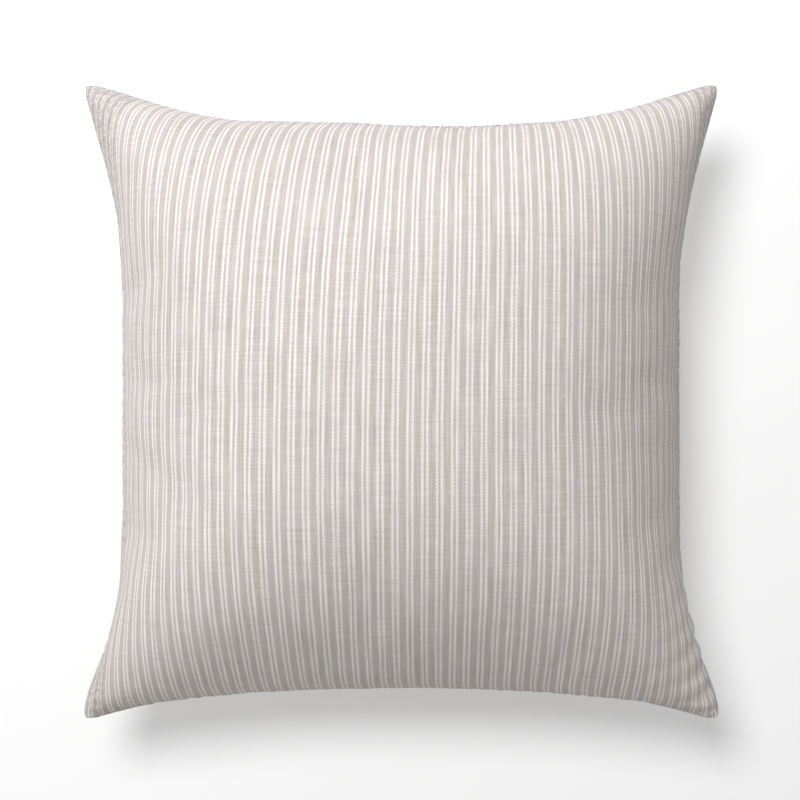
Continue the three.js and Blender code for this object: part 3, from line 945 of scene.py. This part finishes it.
seamStitch = {"inset": 4.5 * mm, "Pitch": 2.8 * mm, "Length": 2.5 * mm, "Rise": 0.5 * mm,
              "Thread": 0.17 * mm, "Lean": 0.0, "Unevenness": 0.05}
overlock = {"inset": 8.9 * mm, "Pitch": 2.2 * mm, "Depth": 3.3 * mm, "Width": 2.1 * mm,
            "Thread": 0.16 * mm, "Lean": 0.3, "Unevenness": 0.08}
liningStitch = {"Pitch": 2.4 * mm, "Length": 2.1 * mm, "Rise": 0.4 * mm, "Thread": 0.13 * mm,
                "Lean": 0.0, "Unevenness": 0.05}


# the sizes that go to a run's own inputs
def sizesOf(settings):
    return {label: value for label, value in settings.items() if label[0].isupper()}


def makeSeamThreads(stitchTree, loopTree):
    thread = spunThread("coverThread", threadLook["cover"])
    height = panel["seamHalfGap"] + panel["wall"] + 0.1 * mm
    for word, node, way in (("Needle", "seam_needle_thread", 1), ("Bobbin", "seam_bobbin_thread", -1)):
        sizes = sizesOf(seamStitch)
        sizes["Rise"] *= way
        piece = growAlong("seam" + word + "Stitches", stitchTree,
                          seamPath(seamStitch["inset"], way * height, False), False,
                          thread, Seed=3, **sizes)
        declare(piece, node)
    piece = growAlong("overlockLoops", loopTree, seamPath(overlock["inset"], 0, False), False,
                      thread, Seed=5, **sizesOf(overlock))
    declare(piece, "overlock_thread")
    return thread


zipCentreY = frame["record"]["behaviour"]["joints"][0]["pos_m"][1]
zipRadius = outline["zipArcRadius"]


def zipPoint(s, inset, height):
    angle = s / zipRadius
    radius = zipRadius + inset
    return np.stack([radius * np.sin(angle), zipCentreY + radius * np.cos(angle),
                     seamZ + height + np.zeros_like(angle)], -1)


tape = {
    "halfLength": 160 * mm,
    "inset": 4.05 * mm,
    "thickness": 0.5 * mm,
    "from": 1.55 * mm,      # its inner edge runs inside the coil
    "to": 10.4 * mm,
    "steps": 200,
    "endThinness": 0.35,    # pressed thin where it is cut off
    "endReach": 2 * mm,
}
coil = {"inset": 4.3 * mm, "height": 1.45 * mm, "halfLength": 154.6 * mm, "Pitch": 1.25 * mm,
        "Depth": 0.92 * mm, "Width": 0.84 * mm, "Thread": 0.23 * mm, "Lean": 0.32,
        "Unevenness": 0.0}
tapeStitch = {"inset": 4.75 * mm, "height": 6.6 * mm, "Pitch": 2.6 * mm, "Length": 2.3 * mm,
              "Rise": 0.0, "Thread": 0.15 * mm, "Lean": 0.0, "Unevenness": 0.04}


def zipTape(name, side):
    s = np.linspace(-tape["halfLength"], tape["halfLength"], tape["steps"] + 1)
    across = np.linspace(tape["from"], tape["to"], 9)
    near, far = tape["inset"], tape["inset"] + tape["thickness"]
    section = [(near, h) for h in across] + [(far, h) for h in across[::-1]]
    thin = tape["endThinness"]
    ends = thin * awayShare(tape["halfLength"] - np.abs(s), tape["endReach"]) + 1 - thin
    rings = []
    for inset, height in section:
        middle = (near + far) / 2
        rings.append(zipPoint(s, middle + (inset - middle) * ends, side * height))
    points = np.stack(rings, 1)
    rows, count = points.shape[:2]
    ids = np.arange(rows * count).reshape(rows, count)
    faces = [bandQuads(ids[k], ids[k + 1]) for k in range(rows - 1)]
    half = count // 2
    for row, flip in ((ids[0], False), (ids[-1], True)):
        low, high = row[:half], row[half:][::-1]
        cap = np.stack([low[:-1], low[1:], high[1:], high[:-1]], -1)
        faces.append(cap[:, ::-1] if flip else cap)
    lengths = np.array([h for _, h in section])
    cut = np.stack([np.repeat(s, count), np.tile(lengths, rows)], -1)
    piece = meshPiece(name, points.reshape(-1, 3), np.concatenate(faces), cut)
    turnFacesOut(piece.data)
    return piece


# a CAD solid with its flat faces made whole and its edges rounded
def roundedCopy(node, name, radius):
    mesh = frame["nodes"][node].data.copy()
    solid = bmesh.new()
    solid.from_mesh(mesh)
    bmesh.ops.remove_doubles(solid, verts=solid.verts, dist=0.002 * mm)
    bmesh.ops.dissolve_limit(solid, angle_limit=0.02, verts=solid.verts, edges=solid.edges)
    solid.to_mesh(mesh)
    solid.free()
    mesh.materials.clear()
    piece = placeObject(name, mesh)
    bevel = piece.modifiers.new("bevel", "BEVEL")
    bevel.width = radius
    bevel.segments = 3
    bevel.limit_method = "ANGLE"
    bevel.angle_limit = 0.5
    bevel.use_clamp_overlap = True
    done = bpy.data.meshes.new_from_object(evaluated(piece))
    piece.modifiers.clear()
    piece.data = done
    done.shade_smooth()
    done.set_sharp_from_angle(angle=0.7)
    return piece


def makeZip(stitchTree, loopTree, thread):
    tapeCloth = herringboneTape()
    nylon = coilNylon()
    zinc = enamelledZinc()
    for side, word in bothSides:
        strip = zipTape("zipTape" + word, side)
        strip.data.materials.append(tapeCloth)
        declare(strip, "zip_tape_" + word.lower())
        s = np.linspace(-coil["halfLength"], coil["halfLength"], 300)
        sizes = sizesOf(coil)
        sizes["Lean"] *= side
        row = growAlong("zipCoil" + word, loopTree, zipPoint(s, coil["inset"], side * coil["height"]),
                        False, nylon, Seed=1, **sizes)
        declare(row, "zip_coil_" + word.lower())
        row = growAlong("zipStitches" + word, stitchTree,
                        zipPoint(s, tapeStitch["inset"], side * tapeStitch["height"]),
                        False, thread, Seed=2, **sizesOf(tapeStitch))
        declare(row, "zip_stitch_" + word.lower())
    for node, name, radius, body in (("zip_stop_left", "zipStopLeft", 0.3, "pillow"),
                                     ("zip_stop_right", "zipStopRight", 0.3, "pillow"),
                                     ("zip_slider", "zipSliderBody", 0.18, "slider"),
                                     ("zip_pull_tab", "zipPullTab", 0.2, "pull_tab")):
        piece = roundedCopy(node, name, radius * mm)
        piece.data.materials.append(zinc)
        declare(piece, node, body)


insert = {
    "cells": 120,
    "clearance": 1.25 * mm,  # from the cover's outer face to the lining
    "wall": 0.5 * mm,
    "rimInset": 11.5 * mm,  # from the cover's seam to the insert's
    "rimReach": 35 * mm,
    "allowance": 6 * mm,
    "halfGap": 0.15 * mm,
    "threadInset": 4 * mm,
    "riseReach": 6 * mm,    # the walls part over this distance from the rim
}
fibre = {
    "cells": 110,
    "clearance": 2.1 * mm,
    "rimInset": 17.8 * mm,
    "rimReach": 45 * mm,
    "lump": 2.2 * mm,       # how deep the hollows between tufts are
    "lumpLength": 34 * mm,
    "lumpStart": 15 * mm,   # over the seam, from here they are full
    "waves": 14,
    "seed": 11,
}


# a face inside the cover's, drawn in to a smaller rim
def innerFace(grid, sheet, settings):
    outer, cut = coverFace(grid, sheet, settings["cells"])
    a, b = cutGrid(settings["cells"])
    distance = seamDistance(a, b)
    points = outer - gridNormals(outer, sheet) * settings["clearance"]
    x, y = planPoint(a / halfCut, b / halfCut, settings["rimInset"] + grooveDepth(a, b))
    t = softStep(distance / settings["rimReach"])
    points[..., 0] = x + (points[..., 0] - x) * t
    points[..., 1] = y + (points[..., 1] - y) * t
    rise = np.maximum(sheet * (points[..., 2] - seamZ), insert["halfGap"])
    rise = insert["halfGap"] + (rise - insert["halfGap"]) * softStep(distance / insert["riseReach"])
    points[..., 2] = seamZ + sheet * rise
    return points, cut


def makeInsert(grids, stitchTree):
    lining = plainLining()
    for sheet, word in bothSides:
        points, cut = innerFace(grids[sheet], sheet, insert)
        piece = clothShell("insertLining" + word, points, cut, sheet, insert["wall"],
                           insert["rimInset"], insert["allowance"], insert["halfGap"])
        piece.data.materials.append(lining)
        declare(piece, "insert_shell_" + word.lower())
    thread = spunThread("liningThread", threadLook["lining"])
    height = insert["halfGap"] + insert["wall"] + 0.08 * mm
    path = seamPath(insert["rimInset"] + insert["threadInset"], height, True)
    piece = growAlong("insertStitches", stitchTree, path, True, thread, Seed=4, **liningStitch)
    declare(piece, "insert_seam_thread")


# one closed body, its surface in soft lumps like teased-out tufts
def makeFibre(grids):
    draw = np.random.default_rng(fibre["seed"])
    waves = [(draw.normal(size=3), draw.uniform(0, 2 * math.pi)) for _ in range(fibre["waves"])]
    points = []
    n = fibre["cells"] + 1
    ids = np.arange(n * n).reshape(n, n)
    backIds = ids + n * n
    ri, rj = rimOrder(n)
    backIds[ri, rj] = ids[ri, rj]
    for sheet in (1, -1):
        face = innerFace(grids[sheet], sheet, fibre)[0]
        normal = gridNormals(face, sheet)
        wave = sum(np.sin(2 * math.pi * (face @ direction) / fibre["lumpLength"] + phase)
                   for direction, phase in waves) / math.sqrt(len(waves))
        lump = fibre["lump"] * softStep(0.5 + 0.5 * wave)
        lump *= softStep((sheet * (face[..., 2] - seamZ)) / fibre["lumpStart"])
        points.append((face - normal * lump[..., None]).reshape(-1, 3))
    points[0][ids[ri, rj], 2] = seamZ
    quads = np.concatenate([gridQuads(ids), gridQuads(backIds)[:, ::-1]])
    used, quads = np.unique(quads, return_inverse=True)
    piece = meshPiece("fibreFill", np.concatenate(points)[used], quads.reshape(-1, 4))
    piece.data.materials.append(polyesterFibre())
    declare(piece, "fibre_fill")


view = {
    "height": 1.2,          # over the seam plane
    "fieldWidth": 590.4 * mm,  # across the seam plane
    "sensor": 36.0,
    "centre": (-1 * mm, 1.5 * mm),
}


def makeCamera():
    camera = bpy.data.cameras.new("camera")
    camera.sensor_width = view["sensor"]
    camera.lens = view["sensor"] * view["height"] / view["fieldWidth"]
    holder = placeObject("camera", camera)
    holder.location = (*view["centre"], seamZ + view["height"])
    scene.camera = holder


floorLook = {"halfSize": 6.0, "colour": (0.87, 0.87, 0.87, 1), "roughness": 0.9}


def makeFloor():
    size = floorLook["halfSize"]
    mesh = bpy.data.meshes.new("floor")
    mesh.from_pydata([(-size, -size, 0), (size, -size, 0), (size, size, 0), (-size, size, 0)],
                     [], [(0, 1, 2, 3)])
    floor = placeObject("floor", mesh)
    material, tree, shader = newMaterial("paleFloor")
    setShader(shader, {"Base Color": floorLook["colour"], "Roughness": floorLook["roughness"]})
    mesh.materials.append(material)


light = {
    "world": 0.40,
    "key": {"place": (-1.3, 1.9, 1.9), "size": 1.0, "power": 38, "shadow": False},
    "top": {"place": (-0.45, 0.70, 1.9), "size": 0.75, "power": 25, "shadow": True},
}


def areaLight(name, place, size, power, shadow):
    lamp = bpy.data.lights.new(name, "AREA")
    lamp.shape = "DISK"
    lamp.size = size
    lamp.energy = power
    lamp.use_shadow = shadow
    holder = placeObject(name, lamp)
    holder.location = place
    holder.rotation_mode = "QUATERNION"
    holder.rotation_quaternion = (Vector((0, 0, seamZ)) - Vector(place)).to_track_quat("-Z", "Y")


def makeLight():
    world = bpy.data.worlds.new("studio")
    scene.world = world
    world.use_nodes = True
    setShader(world.node_tree.nodes["Background"], {"Color": (1, 1, 1, 1), "Strength": light["world"]})
    areaLight("keyLight", **light["key"])
    areaLight("topLight", **light["top"])
    scene.view_settings.view_transform = "Standard"


makeCamera()
makeFloor()
makeLight()
grids = simulateCover()
for sheet in grids:
    grids[sheet] = calmWrinkles(grids[sheet])
print("pressed the wrinkles out")
clothMaterial = stripedCloth()
for sheet, word in bothSides:
    cover = coverPiece(grids[sheet], sheet, "cover" + word)
    cover.data.materials.append(clothMaterial)
    declare(cover, "cover_" + word.lower())
stitchTree = runTree("stitchRun", ("Length", "Rise", "Thread"), stitchShape)
loopTree = runTree("loopRun", ("Depth", "Width", "Thread"), loopShape)
coverThread = makeSeamThreads(stitchTree, loopTree)
makeZip(stitchTree, loopTree, coverThread)
makeInsert(grids, stitchTree)
makeFibre(grids)
